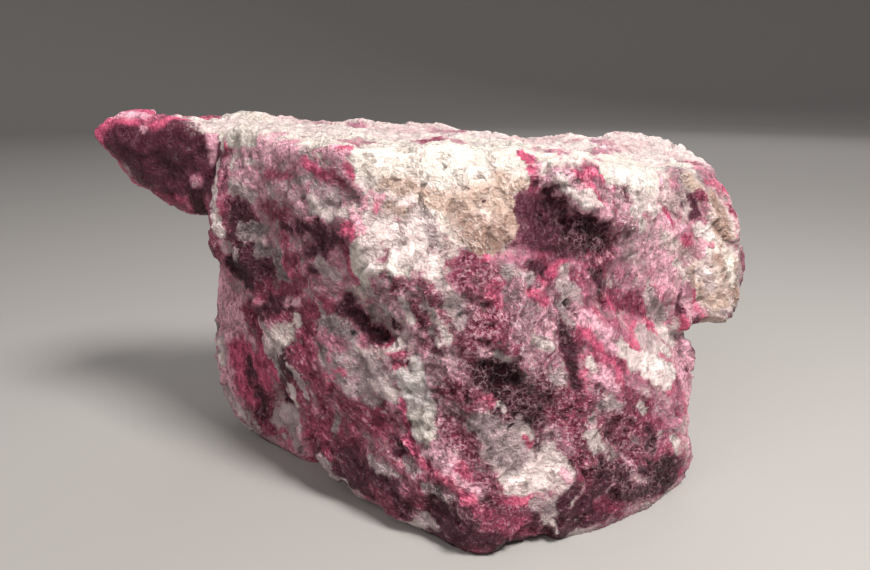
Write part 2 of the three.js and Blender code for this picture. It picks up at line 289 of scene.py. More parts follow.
# The slab's middle and foot: wine and plum layers, with grey quartz lying between them.
SLAB = [
    ("grey", 3, (226, 266), (240, 285), (252, 300), (262, 318), (270, 335), (280, 350), (290, 366),
     (298, 386)),
    ("grey", 3, (294, 366), (301, 382), (306, 396)),
    ("ink", 8, (229, 264), (240, 274), (252, 286)),
    ("plum", 9, (250, 296), (264, 312)),
    ("plum", 10, (270, 300), (290, 306)),
    ("sage", 7, (278, 264), (283, 278)),
    ("wine", 7, (290, 260), (298, 270)),
    ("mauve", 3, (303, 262), (306, 280), (313, 296)),
    ("plum", 7, (313, 270)),
    ("grey", 10, (322, 262), (330, 280)),
    ("mauve", 11, (325, 288), (350, 296)),
    ("blush", 5, (286, 300), (299, 302)),
    ("milk", 4, (296, 316), (298, 326)),
    ("wine", 7, (307, 304), (312, 322)),
    ("grey", 3, (318, 300), (324, 318)),
    ("sage", 13, (325, 326), (346, 332)),
    ("sage", 13, (322, 346), (350, 352)),
    # Ink and plum in the recess behind the slab's edge: painted shade.
    ("ink", 10, (348, 308), (362, 322), (378, 336)),
    ("plum", 8, (352, 300), (340, 306)),
    ("milk", 6, (385, 305), (392, 316)),
    ("grey", 8, (368, 291)),
    ("wine", 7, (395, 292), (405, 300)),
    ("rose", 7, (388, 346), (400, 354)),
    ("milk", 4, (392, 350), (400, 345)),
    ("rose", 5, (396, 365), (403, 372)),
    ("grey", 17, (356, 362), (380, 378)),
    ("grey", 10, (338, 382), (370, 396)),
    ("milk", 7, (384, 386), (396, 396)),
    ("wine", 14, (302, 345), (310, 370), (320, 396)),
    ("mauve", 8, (330, 404), (350, 415)),
    ("wine", 12, (345, 408), (392, 432)),
    ("sage", 3, (335, 410), (336, 430)),
    ("blush", 9, (395, 305), (420, 330)),
    ("milk", 5, (385, 300), (392, 310)),
    ("blush", 8, (402, 285), (412, 300), (424, 330)),
    ("blush", 7, (244, 300), (256, 345)),
    ("mauve", 8, (322, 336), (342, 344)),
]
# Under the slab at the left, where it is undercut and split into layers. The ink and plum in the groove
# beside the slab's edge are painted shade as well as dark rock.
UNDERCUT = [
    ("blush", 7, (221, 278), (222, 300)),
    ("blush", 7, (225, 343), (226, 366)),
    ("blush", 9, (230, 302), (236, 330)),
    ("wine", 11, (250, 316), (262, 336), (268, 356)),
    ("rose", 8, (263, 352), (275, 370)),
    ("plum", 8, (250, 362), (252, 378)),
    ("ink", 10, (244, 386), (260, 398)),
    ("ink", 4, (284, 360), (288, 372)),
    ("plum", 6, (284, 380), (290, 398)),
    ("blush", 3, (240, 370), (238, 388), (243, 408)),
    ("mauve", 5, (224, 395), (233, 412), (246, 424)),
    ("plum", 13, (256, 396), (262, 410)),
    ("wine", 7, (262, 424), (270, 426)),
    ("grey", 7, (278, 414), (290, 428)),
    ("milk", 4, (284, 438)),
    ("grey", 7, (296, 426), (302, 450)),
    ("milk", 4, (290, 388), (296, 402), (298, 414)),
    ("wine", 8, (305, 414), (312, 440)),
    ("mauve", 3, (312, 392), (320, 418)),
    ("wine", 8, (324, 440), (330, 456)),
    ("grey", 7, (322, 460), (335, 480)),
    ("milk", 5, (343, 480)),
    ("grey", 7, (344, 494), (356, 503)),
    ("plum", 10, (345, 462), (366, 480)),
    ("grey", 7, (370, 460), (385, 472), (397, 482)),
    ("plum", 8, (364, 490), (372, 500)),
    ("wine", 12, (376, 496), (404, 510)),
    ("plum", 8, (395, 440), (400, 456)),
    ("sage", 6, (405, 462), (416, 470)),
    ("sage", 7, (428, 486), (446, 498)),
    ("grey", 7, (418, 514), (434, 525), (441, 531)),
    ("plum", 11, (396, 500), (410, 512)),
    ("plum", 12, (440, 540), (460, 530)),
    ("blush", 6, (222, 330), (226, 366), (232, 392)),
    ("milk", 4, (220, 340), (223, 362)),
    ("rose", 10, (236, 350), (250, 400)),
    ("blush", 8, (232, 300), (246, 330)),
    ("plum", 8, (374, 478), (396, 486)),
]
# The quartz head: cream at its upper edge, honey to tan in its middle, milky below.
HEAD = [
    ("cream", 12, (362, 155), (400, 160), (450, 163), (500, 158)),
    ("cream", 9, (365, 170), (395, 180)),
    ("milk", 11, (374, 190), (400, 196), (424, 195)),
    ("blush", 5, (372, 192), (384, 200)),
    ("tan", 6, (388, 207), (406, 212)),
    ("honey", 9, (384, 184), (406, 188)),
    ("honey", 8, (420, 194), (438, 200)),
    ("honey", 16, (454, 204), (480, 199), (504, 206)),
    ("tan", 15, (462, 226), (488, 238), (516, 226)),
    ("tan", 8, (476, 248), (500, 251)),
    ("mauve", 7, (515, 246), (530, 262)),
    ("honey", 10, (500, 184), (522, 190)),
    ("milk", 15, (380, 226), (402, 240), (425, 222)),
    ("milk", 15, (405, 256), (430, 266)),
    ("milk", 9, (368, 248)),
    ("grey", 7, (430, 228), (436, 250)),
    ("blush", 7, (356, 214), (362, 226)),
    ("wine", 6, (396, 284), (410, 285)),
    ("wine", 6, (420, 285), (432, 289)),
    ("wine", 9, (465, 260), (490, 263)),
    ("wine", 11, (456, 272), (500, 282)),
    ("rose", 5, (487, 256)),
    ("mauve", 8, (500, 256), (516, 264)),
    ("grey", 8, (510, 270), (530, 276)),
    ("rose", 7, (520, 154), (538, 160)),
    ("rose", 6, (530, 170)),
    ("wine", 6, (533, 180), (538, 192)),
    ("ink", 1.5, (483, 201)),
]
# The granular middle, with a pit laid in ink: partly dark rock and partly painted shade.
MIDDLE = [
    ("wine", 22, (420, 315), (440, 330)),
    ("milk", 5, (443, 330), (448, 340)),
    ("grey", 5, (440, 284), (452, 302)),
    ("grey", 7, (452, 304), (462, 322)),
    ("wine", 10, (470, 286), (480, 300)),
    ("rose", 9, (494, 290), (500, 302)),
    ("wine", 11, (480, 320), (500, 326)),
    ("mauve", 13, (516, 298), (524, 332)),
    ("rose", 6, (530, 292), (545, 300)),
    ("rose", 5, (543, 268), (544, 280)),
    ("blush", 5, (538, 312), (550, 326)),
    ("milk", 5, (535, 341), (549, 346)),
    ("mauve", 10, (530, 352), (546, 366)),
    ("grey", 9, (560, 284), (576, 298)),
    ("blush", 6, (485, 352), (492, 360)),
    ("milk", 5, (498, 353), (505, 361)),
    ("ink", 14, (482, 368), (498, 376), (510, 386)),
    ("ink", 9, (495, 391), (508, 398)),
    ("plum", 13, (515, 402), (540, 416)),
    ("plum", 9, (530, 390)),
    ("rose", 6, (478, 398), (491, 403)),
    ("milk", 3, (500, 404), (505, 408)),
    ("blush", 9, (445, 366)),
    ("wine", 6, (440, 390)),
    ("wine", 13, (455, 390), (470, 408)),
    ("ink", 1, (466, 394), (467, 404)),
    # White down the ridge's edge: partly pale quartz and partly painted light on the lit edge.
    ("white", 9, (414, 366), (422, 396), (428, 426)),
    ("white", 7, (402, 374), (412, 400), (418, 436)),
    ("plum", 7, (530, 264), (548, 272)),
    ("ink", 8, (480, 382), (492, 390)),
    ("grey", 6, (562, 302), (566, 318)),
    ("blush", 8, (386, 300), (420, 334)),
    ("milk", 5, (400, 300), (412, 318)),
    ("plum", 4, (392, 322), (402, 330)),
    ("milk", 3, (430, 330), (440, 345)),
    ("petal", 5, (424, 304), (440, 326)),
]
# The ridge that runs down the front, with grey and white quartz along it; the white is partly painted
# light on the lit edge. The plum and wine at its foot, by the ground, are painted shade.
RIDGE = [
    ("cream", 8, (416, 422), (428, 440)),
    ("blush", 9, (430, 446), (441, 462), (450, 474)),
    ("blush", 6, (432, 452), (446, 468)),
    ("rose", 6, (460, 466), (469, 476)),
    ("blush", 6, (464, 484), (478, 492)),
    ("wine", 9, (468, 444), (480, 459)),
    ("rose", 4, (406, 440), (424, 464), (440, 480)),
    ("ink", 5, (487, 490), (492, 506)),
    ("rose", 8, (506, 496), (526, 501)),
    ("grey", 13, (477, 424), (490, 430), (520, 430)),
    ("milk", 5, (525, 432), (529, 438)),
    ("grey", 15, (496, 450), (516, 456)),
    ("grey", 8, (494, 464), (512, 472)),
    ("milk", 14, (508, 484), (530, 480), (550, 470), (556, 450)),
    ("grey", 9, (536, 504), (552, 512)),
    ("rose", 4, (524, 437), (529, 445)),
    ("wine", 9, (560, 418), (578, 428)),
    ("mauve", 9, (550, 432), (570, 446)),
    ("blush", 5, (561, 473), (568, 481)),
    ("plum", 7, (564, 500), (575, 488)),
    ("plum", 6, (560, 520), (566, 530)),
    ("wine", 12, (490, 520), (522, 526)),
    ("plum", 9, (455, 514), (460, 528)),
    ("wine", 12, (478, 545), (496, 538)),
    ("plum", 9, (505, 546), (530, 545), (560, 538)),
    ("wine", 8, (520, 530), (545, 534)),
    ("cream", 7, (424, 414), (428, 438)),
    ("wine", 9, (484, 472), (500, 496)),
    ("plum", 10, (455, 530), (490, 540)),
    ("plum", 7, (562, 508), (574, 516)),
    ("rose", 3, (401, 398), (406, 425), (416, 452)),
    ("rose", 6, (440, 474), (458, 490), (478, 510)),
    ("blush", 5, (424, 452), (436, 466)),
    ("plum", 9, (440, 514), (470, 526)),
    ("wine", 8, (480, 513), (500, 520)),
    ("plum", 8, (456, 526), (490, 538), (515, 541)),
    ("white", 6, (416, 378), (424, 402)),
]
# The shoulder: a pale crest over a dark face. The crest's milk and blush are partly painted light on its
# lit top, and the face's plum and ink are partly painted shade under the crest, as well as the rock's own
# colours.
SHOULDER = [
    ("blush", 11, (542, 168), (560, 188)),
    ("blush", 8, (556, 170), (570, 176)),
    ("rose", 4, (574, 173), (588, 177)),
    ("rose", 5, (588, 174), (604, 178)),
    ("rose", 7, (588, 186), (602, 206)),
    ("cream", 12, (610, 172), (648, 184)),
    ("milk", 10, (640, 196), (652, 206)),
    ("petal", 10, (660, 190), (676, 200)),
    ("blush", 8, (664, 216), (684, 236)),
    ("blush", 3, (655, 170), (661, 188)),
    ("cream", 10, (676, 166), (690, 180)),
    ("honey", 8, (688, 178), (702, 198)),
    ("plum", 16, (527, 208), (530, 236)),
    ("plum", 22, (545, 214), (560, 238), (588, 232)),
    ("plum", 8, (538, 214), (560, 224)),
    ("ink", 4, (540, 250), (562, 246)),
    ("rose", 5, (550, 270), (564, 262)),
    ("blush", 6, (572, 206), (602, 208)),
    ("wine", 10, (590, 256), (602, 272)),
    ("wine", 4, (613, 204), (616, 214)),
    ("grey", 8, (565, 270)),
    ("milk", 5, (544, 170), (562, 186)),
    ("white", 8, (616, 174), (642, 182)),
    ("blush", 6, (548, 176), (566, 192)),
    ("milk", 4, (584, 192), (600, 204)),
    ("milk", 6, (566, 190), (590, 204)),
    ("milk", 5, (556, 178), (572, 190)),
]
# The right face: fibrous, pink and milky.
RIGHT_FACE = [
    ("mauve", 12, (630, 215), (640, 250)),
    ("rose", 4, (666, 210), (672, 226)),
    ("blush", 7, (636, 240), (650, 262)),
    ("rose", 5, (684, 238), (688, 250)),
    ("blush", 12, (664, 250), (690, 272)),
    ("milk", 5, (676, 262), (688, 276)),
    ("plum", 6, (690, 196), (697, 214)),
    ("plum", 9, (592, 270), (602, 286)),
    ("wine", 11, (606, 298), (640, 306)),
    ("rose", 5, (606, 300), (612, 312)),
    ("rose", 6, (646, 318), (652, 330)),
    ("grey", 9, (650, 300), (660, 316)),
    ("blush", 6, (636, 268), (650, 280)),
    ("blush", 6, (656, 258), (668, 288)),
    ("plum", 7, (676, 294), (680, 310)),
    ("rose", 4, (694, 290), (697, 300)),
    ("wine", 4, (668, 304)),
    ("rose", 8, (684, 322)),
    ("rose", 6, (700, 304), (708, 320)),
    ("blush", 3, (700, 302), (706, 312)),
    ("plum", 7, (685, 336), (690, 346)),
    ("blush", 7, (682, 338), (692, 378)),
    ("blush", 8, (626, 205), (645, 235)),
    ("milk", 5, (634, 208), (642, 228)),
    ("petal", 7, (665, 240), (688, 256)),
]
# The ledge with its pale top, and the block below it. The blush and white on the ledge's top and down the
# block's right edge are partly pale rock and partly painted light; the plum and ink in the groove left of
# the ledge and along the block's foot are painted shade.
LEDGE = [
    ("blush", 9, (576, 312), (604, 328), (614, 342)),
    ("rose", 5, (578, 328), (593, 335)),
    ("plum", 10, (562, 330), (570, 350)),
    ("wine", 5, (592, 346), (598, 362)),
    ("milk", 7, (620, 346), (632, 358), (646, 366)),
    ("milk", 10, (650, 362), (670, 374)),
    ("grey", 9, (640, 340), (656, 350)),
    ("milk", 8, (660, 332), (670, 344)),
    ("blush", 7, (670, 352), (680, 374), (687, 398)),
    ("wine", 8, (630, 386), (642, 396)),
    ("plum", 6, (600, 386)),
    ("wine", 6, (614, 354), (622, 370)),
    ("milk", 6, (590, 361), (598, 372)),
    ("blush", 5, (592, 376), (616, 388)),
    ("grey", 8, (554, 376), (560, 386)),
    ("grey", 7, (604, 402), (622, 406)),
    ("wine", 10, (608, 416), (620, 426)),
    ("milk", 4, (640, 404), (646, 410)),
    ("wine", 11, (560, 410), (580, 424)),
    ("mauve", 8, (556, 440), (570, 450)),
    ("milk", 8, (585, 430), (598, 446)),
    ("grey", 5, (590, 410), (594, 420)),
    ("plum", 6, (607, 436)),
    ("plum", 8, (650, 430), (652, 446)),
    ("wine", 13, (620, 442), (640, 460)),
    ("blush", 3, (624, 456), (631, 463)),
    ("plum", 9, (600, 464), (606, 486)),
    ("ink", 7, (668, 460)),
    ("ink", 8, (658, 470), (668, 486)),
    ("plum", 8, (646, 488), (660, 492)),
    ("mauve", 1.5, (584, 486), (578, 496), (572, 512)),
    ("blush", 4, (600, 500), (596, 509)),
    ("mauve", 3, (612, 484), (607, 491)),
    ("mauve", 6, (635, 475), (648, 478)),
    ("ink", 5, (617, 504), (618, 515)),
    ("plum", 7, (584, 496)),
    ("blush", 4, (686, 392), (689, 430), (688, 458)),
    ("blush", 3, (690, 468), (682, 484)),
    ("rose", 5, (683, 472)),
    ("mauve", 9, (660, 406), (680, 424)),
    ("milk", 4, (672, 438), (677, 450)),
    ("grey", 4, (660, 433)),
    ("blush", 4, (668, 402), (690, 405)),
    ("blush", 5, (578, 318), (606, 340), (618, 352)),
    ("mauve", 5, (622, 376), (646, 392), (668, 400)),
    ("blush", 4, (688, 350), (690, 400)),
    ("plum", 5, (568, 340), (572, 380)),
    ("plum", 6, (575, 384), (578, 402)),
    ("rose", 3, (606, 356), (622, 374)),
    ("wine", 10, (560, 400), (580, 430)),
    ("ink", 5, (568, 340), (572, 370)),
    ("white", 6, (650, 362), (672, 374)),
    ("milk", 8, (622, 350), (646, 372), (668, 384)),
    ("blush", 6, (676, 352), (690, 396)),
    ("plum", 5, (557, 322), (565, 338)),
    ("wine", 8, (562, 404), (574, 430)),
    ("wine", 8, (575, 400), (590, 410)),
    ("plum", 6, (640, 470), (655, 480)),
    ("wine", 7, (620, 440), (640, 455)),
    ("grey", 7, (640, 330), (656, 341)),
    ("milk", 6, (655, 346), (668, 353)),
    ("blush", 4, (600, 368), (612, 380)),
    ("wine", 6, (572, 336), (588, 346)),
    ("rose", 4, (586, 332), (600, 346)),
    ("plum", 7, (565, 332), (573, 352)),
    ("plum", 9, (580, 506), (604, 515)),
    ("wine", 7, (600, 504), (618, 510)),
    ("plum", 6, (562, 516), (576, 512)),
    ("plum", 7, (570, 527), (600, 520)),
]
# The overhanging end: honey and tan quartz in a thin pink rim.
END = [
    ("honey", 13, (700, 274), (718, 300)),
    ("milk", 7, (704, 270), (712, 290)),
    ("tan", 10, (726, 268), (739, 296)),
    ("honey", 8, (708, 320), (724, 330)),
    ("rose", 3, (723, 180), (725, 191)),
    ("wine", 4, (729, 206), (733, 216)),
    ("wine", 6, (697, 195), (703, 200)),
    ("plum", 5, (694, 206), (691, 216)),
    ("plum", 4, (683, 206)),
    ("tan", 12, (714, 202), (726, 232)),
    ("milk", 7, (700, 230), (712, 236)),
    ("cream", 4, (711, 252)),
    ("tan", 9, (720, 260), (740, 262)),
    ("cream", 7, (728, 262), (734, 280)),
]

# How the rock broke there: in upright fibres, in layers slanting down the slab, smooth, or in coarse
# crumbs.
BREAKS = [
    ("fibre", 60, (560, 210), (590, 290)),
    ("fibre", 50, (640, 215), (680, 260), (650, 290)),
    ("fibre", 45, (240, 300), (250, 400)),
    ("fibre", 30, (520, 300), (540, 340)),
    ("slant", 45, (285, 330), (350, 430), (430, 510)),
    ("smooth", 45, (130, 150), (190, 165)),
    ("smooth", 45, (400, 165), (480, 200), (500, 220)),
    ("smooth", 30, (390, 240), (430, 260)),
    ("smooth", 25, (710, 290), (725, 250)),
    ("smooth", 25, (520, 470), (540, 480)),
    ("smooth", 22, (640, 355), (665, 370)),
    ("coarse", 60, (420, 320), (450, 380)),
    ("coarse", 45, (480, 300), (540, 330)),
    ("coarse", 40, (500, 380), (540, 410)),
    ("coarse", 50, (440, 450), (470, 470)),
    ("coarse", 40, (600, 430), (650, 470)),
    ("coarse", 20, (575, 225), (600, 250)),
    ("coarse", 25, (556, 176), (590, 198)),
    ("coarse", 30, (620, 200), (640, 230)),
]


def to_linear(written):
    """A colour written as sRGB hex, as linear red, green and blue."""
    channels = [int(written[i:i + 2], 16) / 255 for i in (0, 2, 4)]
    return [c / 12.92 if c <= 0.04045 else ((c + 0.055) / 1.055) ** 2.4 for c in channels]


def scatter(cells, seed):
    """Three random numbers from -1 to 1 for each whole-number cell, the same each time it is asked."""
    mixed = cells @ np.array([73856093, 19349663, 83492791]) + seed * 7919
    numbers = []
    for salt in (0x1F123BB5, 0x2E1B2138, 0x3C6EF372):
        bits = (mixed + salt) & 0xFFFFFFFF
        for _ in range(2):
            bits = ((bits >> 16) ^ bits) * 0x45D9F3B & 0xFFFFFFFF
        numbers.append(((bits >> 16) ^ bits) / 0x7FFFFFFF - 1)
    return np.stack(numbers, axis=1)


def noise(points, pitch, seed):
    """A smooth random number, about -1 to 1, at each point. Its lumps are one pitch across, in mm."""
    place = points / pitch
    cell = np.floor(place).astype(np.int64)
    rest = place - cell
    ease = rest**3 * (rest * (rest * 6 - 15) + 10)
    total = np.zeros(len(points))
    for corner in itertools.product((0, 1), repeat=3):
        slope = scatter(cell + corner, seed)
        part = np.prod(np.where(corner, ease, 1 - ease), axis=1)
        total += part * np.sum(slope * (rest - corner), axis=1)
    return total * 1.5


def layered(points, pitch, seed, layers=3, gain=0.5):
    """Noise on noise: each layer is half as wide as the last and gain times as strong."""
    return sum(gain**i * noise(points, pitch / 2**i, seed + i) for i in range(layers))


def wander(points, pitch, reach, seed):
    """The points moved about by smooth noise, by up to a reach in mm."""
    return points + reach * np.stack([noise(points, pitch, seed + i) for i in range(3)], axis=1)


faces = [tuple(face.vertices) for face in lump.data.polygons]
tree = BVHTree.FromPolygons([tuple(point) for point in base], faces)
NEAREST, FARTHEST = 90, 220  # mm in front of the camera between which the lump lies
ABOVE = 100  # mm, well over the lump


def nearest_to(start, way, depths):
    """The place on the skin that lies nearest to a ray."""
    found = [tree.find_nearest(start + way * depth) for depth in depths]
    return min(found, key=lambda hit: hit[3])[0]


def seen_by_camera(spot):
    """The place on the skin behind a spot in the camera's frame, and the mm that a pixel is there."""
    across, down = spot
    focal = FRAME_WIDE * LENS / SENSOR
    way = Vector(((across - FRAME_WIDE / 2) / focal, 1, (FRAME_HIGH / 2 - down) / focal))
    way.rotate(Euler((-LOOKS_DOWN, 0, 0)))
    place = tree.ray_cast(EYE, way)[0] or nearest_to(EYE, way, range(NEAREST, FARTHEST, 2))
    return np.array(place), (place - EYE).length / way.length / focal


def seen_from_above(spot):
    """The place on the skin under a spot in mm, and 1, because a mm is a mm there."""
    down = Vector((0, 0, -1))
    start = Vector((*spot, ABOVE))
    return np.array(tree.ray_cast(start, down)[0] or nearest_to(start, down, range(ABOVE))), 1


def away_from(points, spots):
    """How far each point is from the line through the spots."""
    nearest = np.full(len(points), np.inf)
    for a, b in zip(spots, spots[1:] if len(spots) > 1 else spots):
        along = b - a
        t = np.clip((points - a) @ along / max(along @ along, 1e-9), 0, 1)
        nearest = np.minimum(nearest, np.linalg.norm(points - a - t[:, None] * along, axis=1))
    return nearest


# Both minerals grew together in the vein, so no patch has a clean edge. A wide one frays in tongues as well
# as crumbs, and a narrow one in crumbs alone.
LEAST_REACH = 0.5  # mm
SOLID_TO, GONE_BY = 0.6, 1.35  # times its reach up to which a patch covers fully, and from which not at all
LOOKED_AT, ROOM_TO_FRAY = 1.6, 3  # times its reach, and mm more, within which points are looked at
TONGUES_FROM, CRUMBS_FROM = 5.0, 2.0  # mm of reach from which a patch frays as much as it can
TONGUE, TONGUE_LONG = 6, 1.8  # mm across a tongue, and how far it runs
LARGE_CRUMB, LARGE_CRUMB_OUT = 2.6, 1.3  # mm across a large crumb, and how far it stands out
SMALL_CRUMB, SMALL_CRUMB_OUT = 1.3, 0.8  # the same for a small one
tongues = wander(base, TONGUE, TONGUE_LONG, seed=11) - base
large_crumbs = wander(base, LARGE_CRUMB, LARGE_CRUMB_OUT, seed=21)
small_crumbs = wander(base, SMALL_CRUMB, SMALL_CRUMB_OUT, seed=25)
crumbs = large_crumbs + small_crumbs - 2 * base


def laid_on(patches, find):
    """For each patch: its kind, the skin's points near it and how strongly it covers each."""
    for kind, reach, *spots in patches:
        spots, scales = zip(*[find(spot) for spot in spots])
        reach = max(LEAST_REACH, reach * np.mean(scales))
        middle = np.mean(spots, axis=0)
        span = max(np.linalg.norm(spot - middle) for spot in spots) + reach * LOOKED_AT + ROOM_TO_FRAY
        near = np.flatnonzero(np.abs(base - middle).max(axis=1) < span)
        frayed = base[near] + tongues[near] * min(1, reach / TONGUES_FROM)
        frayed += crumbs[near] * min(1, reach / CRUMBS_FROM)
        yield kind, near, 1 - step_between(SOLID_TO, GONE_BY, away_from(frayed, spots) / reach)


# Where no patch is named, at the back and underneath, the minerals lie in bands that slant down through the
# lump.
USUAL_SHARE, SHARE_SWING = 0.36, 0.55
BAND_WAY = np.array([[0.8, 0.25, 0.5], [-0.2, 0.9, 0.1], [-0.5, -0.1, 0.85]])
BAND_DRAWN = [1, 1, 0.45]  # the bands are about twice as long as they are wide
BAND_FRAYS = 0.8  # as much as a wide patch does, at 1
SHARE_BAND, THULITE_BAND, QUARTZ_BAND = 14, 13, 20  # mm across
banded = (base + BAND_FRAYS * (tongues + crumbs)) @ BAND_WAY * BAND_DRAWN
share = USUAL_SHARE + SHARE_SWING * layered(banded, SHARE_BAND, seed=41, layers=4, gain=0.6)


def blended(values, family, names, steps):
    """A colour for each value, blended between the named minerals, which stand at the steps."""
    linear = np.array([to_linear(family[name]) for name in names])
    return np.stack([np.interp(values, steps, linear[:, channel]) for channel in range(3)], axis=1)


thulite = blended(layered(banded, THULITE_BAND, seed=31, layers=4, gain=0.6), THULITE,
                  ("ink", "plum", "wine", "mauve", "rose", "blush"), (-0.95, -0.55, -0.2, 0.1, 0.5, 0.9))
quartz = blended(layered(banded, QUARTZ_BAND, seed=51), QUARTZ,
                 ("sage", "grey", "milk", "cream"), (-0.6, -0.2, 0.2, 0.7))

front = (GROUND + FIN + SLAB_TOP + RECESS + SLAB + UNDERCUT + HEAD + MIDDLE + RIDGE
         + SHOULDER + RIGHT_FACE + LEDGE + END)
for mineral, near, weight in itertools.chain(laid_on(TOP, seen_from_above), laid_on(front, seen_by_camera)):
    colours, family = (thulite, THULITE) if mineral in THULITE else (quartz, QUARTZ)
    colours[near] += (to_linear(family[mineral]) - colours[near]) * weight[:, None]
    share[near] += (SHARE[mineral] - share[near]) * weight

broken = {kind: np.zeros(count) for kind in ("fibre", "slant", "smooth", "coarse")}
for kind, near, weight in laid_on(BREAKS, seen_by_camera):
    broken[kind][near] = np.maximum(broken[kind][near], weight)

# The hammer left flat chips, with spalls and grit on them. Granular rock crumbled most, fibrous rock split
# into upright threads and the slab along its layers. Each is named by mm across, then mm high.
WAVE, WAVE_HIGH = 6, 0.35
CHIP, CHIP_HIGH = 6.5, 0.9
SPALL, SPALL_HIGH = 2.4, 0.5
GRIT, GRIT_HIGH = 1.9, 0.34
THREAD, THREAD_HIGH, LAYER_HIGH = 1.9, 0.3, 0.25
ROUGH, ROUGHER, SMOOTHER = 0.7, 0.8, 0.35  # spalls and grit, what coarse rock adds and smooth rock takes
THREAD_LONG = 5  # times as long as it is wide
SLANT = np.array([0.68, -0.44, -0.59])  # the way the layers run down through the slab
NOTCH, NOTCH_DEEP = 4, 1.2  # mm between the notches in a chip's outline, and how far they go in
OFF_MIDDLE = 0.4  # of a cell, by which a chip may lie off its middle
STRAIGHT_ROUNDS = 6  # rounds of smoothing before the way out of the skin is read
FADE = 3.0  # mm above the ground over which the roughness comes in
ON_GROUND = 0.6  # mm up to which the skin is the flat that the lump lies on


def chips(points, pitch, seed):
    """The skin broken into flat chips about a pitch across, each tilted its own way: how high it stands."""
    place = points / pitch
    cell = np.floor(place).astype(np.int64)
    nearest = np.full(len(points), np.inf)
    height = np.zeros(len(points))
    for step in itertools.product((-1, 0, 1), repeat=3):
        home = cell + step
        away = place - home - 0.5 - OFF_MIDDLE * scatter(home, seed)
        reach = np.sum(away * away, axis=1)
        here = reach < nearest
        nearest[here] = reach[here]
        height[here] = np.sum(away[here] * scatter(home[here], seed + 1), axis=1)
    return height


def outward(points):
    """The direction straight out of the skin at each of its points."""
    lump.data.vertices.foreach_set("co", (points * MM).ravel())
    lump.data.update()
    directions = np.empty(count * 3, np.float32)
    lump.data.vertices.foreach_get("normal", directions)
    return directions.reshape(-1, 3).astype(float)


crumbly = wander(base, NOTCH, NOTCH_DEEP, seed=61)
upright = base * [1, 1, 1 / THREAD_LONG]
slanted = base - (1 - 1 / THREAD_LONG) * (base @ SLANT)[:, None] * SLANT
rough = ROUGH + ROUGHER * broken["coarse"] - SMOOTHER * broken["smooth"]
relief = WAVE_HIGH * layered(base, WAVE, seed=71) + CHIP_HIGH * chips(crumbly, CHIP, seed=81)
spalls = SPALL_HIGH * chips(crumbly, SPALL, seed=91)
grit = GRIT_HIGH * layered(base, GRIT, seed=101, layers=2, gain=0.7)
relief += rough * (spalls + grit)
relief += THREAD_HIGH * broken["fibre"] * layered(upright, THREAD, seed=111, layers=2)
relief += LAYER_HIGH * broken["slant"] * layered(slanted, THREAD, seed=121, layers=2)
relief *= step_between(0, FADE, base[:, 2])
out_of_skin = outward(smoothed(base, STRAIGHT_ROUNDS))
skin = base + out_of_skin * relief[:, None]
skin[base[:, 2] < ON_GROUND, 2] = 0
low, high = (np.array(corner) / MM for corner in cad_box)
skin = np.clip(skin, low, high)
lump.data.vertices.foreach_set("co", (skin * MM).ravel())
lump.data.update()
lump.data.shade_smooth()


def proud(rounds, full):
    """How far the skin stands out from its surroundings at each point: 1 is full, in mm."""
    return np.sum((skin - smoothed(skin, rounds)) * out_of_skin, axis=1) / full


NEAR_ROUNDS, NEAR_PROUD = 5, 0.35  # rounds that smooth the close surroundings, and the mm that is full
WIDE_ROUNDS, WIDE_PROUD = 30, 1.2  # the same for the wide surroundings
numbers = {"share": share, "proud": proud(NEAR_ROUNDS, NEAR_PROUD),
           "proud_wide": proud(WIDE_ROUNDS, WIDE_PROUD), **broken}
for name, values in numbers.items():
    stored = lump.data.attributes.new(name, "FLOAT", "POINT")
    stored.data.foreach_set("value", values.astype(np.float32))
for name, values in {"thulite": thulite, "quartz": quartz}.items():
    stored = lump.data.attributes.new(name, "FLOAT_COLOR", "POINT")
    stored.data.foreach_set("color", np.hstack([values, np.ones((count, 1))]).astype(np.float32).ravel())

# Thulite and quartz, freshly broken and never polished: sugary, with each grain a tiny facet that glints on
# its own. Where the rock crumbled, pale crests stand over dark gaps, partly the grain's own colour and
# partly painted highlight and shade that follow the relief. The quartz is glassy, clouded and cracked
# inside.
GRAIN = 0.5  # mm across a grain
CRUMB = 0.75  # mm between the crests of crumbled rock
WISP = 4.5  # mm across the wisps in which one mineral runs into the other
CLOUD = 2.25  # mm across the clouds in the quartz
SHARD = 1.7  # mm across the glassy chips that quartz breaks in
BEND, BENT_BY = 1.5, 2.4  # mm between the bends in a shard's edge, and how far they go
# The pale colour laid on crests: partly pale grain and partly painted highlight.
PALE_GRAIN_AND_HIGHLIGHT = (*to_linear("f0d0d7"), 1)
BRIGHT_CRACK = (*to_linear("f6efec"), 1)

rock = bpy.data.materials.new("thulite and quartz, freshly broken")
rock.use_nodes = True
rock.node_tree.nodes.clear()


def node(kind, inputs, out=0, **settings):
    """Adds a node to the rock and gives one of its outputs. Inputs are numbers, colours or other outputs."""
    made = rock.node_tree.nodes.new("ShaderNode" + kind)
    for name, value in settings.items():
        setattr(made, name, value)
    for socket, value in inputs.items():
        if isinstance(value, bpy.types.NodeSocket):
            rock.node_tree.links.new(value, made.inputs[socket])
        else:
            made.inputs[socket].default_value = value
    return made.outputs[out] if made.outputs else made


held = {name: node("Attribute", {}, "Fac", attribute_name=name) for name in numbers}
tones = {name: node("Attribute", {}, "Color", attribute_name=name) for name in ("thulite", "quartz")}
place = node("VectorMath", {0: node("TexCoord", {}, "Object"), "Scale": 1 / MM}, operation="SCALE")
wisps = node("TexNoise", {"Vector": place, "Scale": 1 / WISP, "Detail": 8.0, "Roughness": 0.7})
cloud = node("TexNoise", {"Vector": place, "Scale": 1 / CLOUD, "Detail": 4.0, "Roughness": 0.6})
clouds = node("MapRange", {"Value": cloud, "From Min": 0.3, "From Max": 0.7})

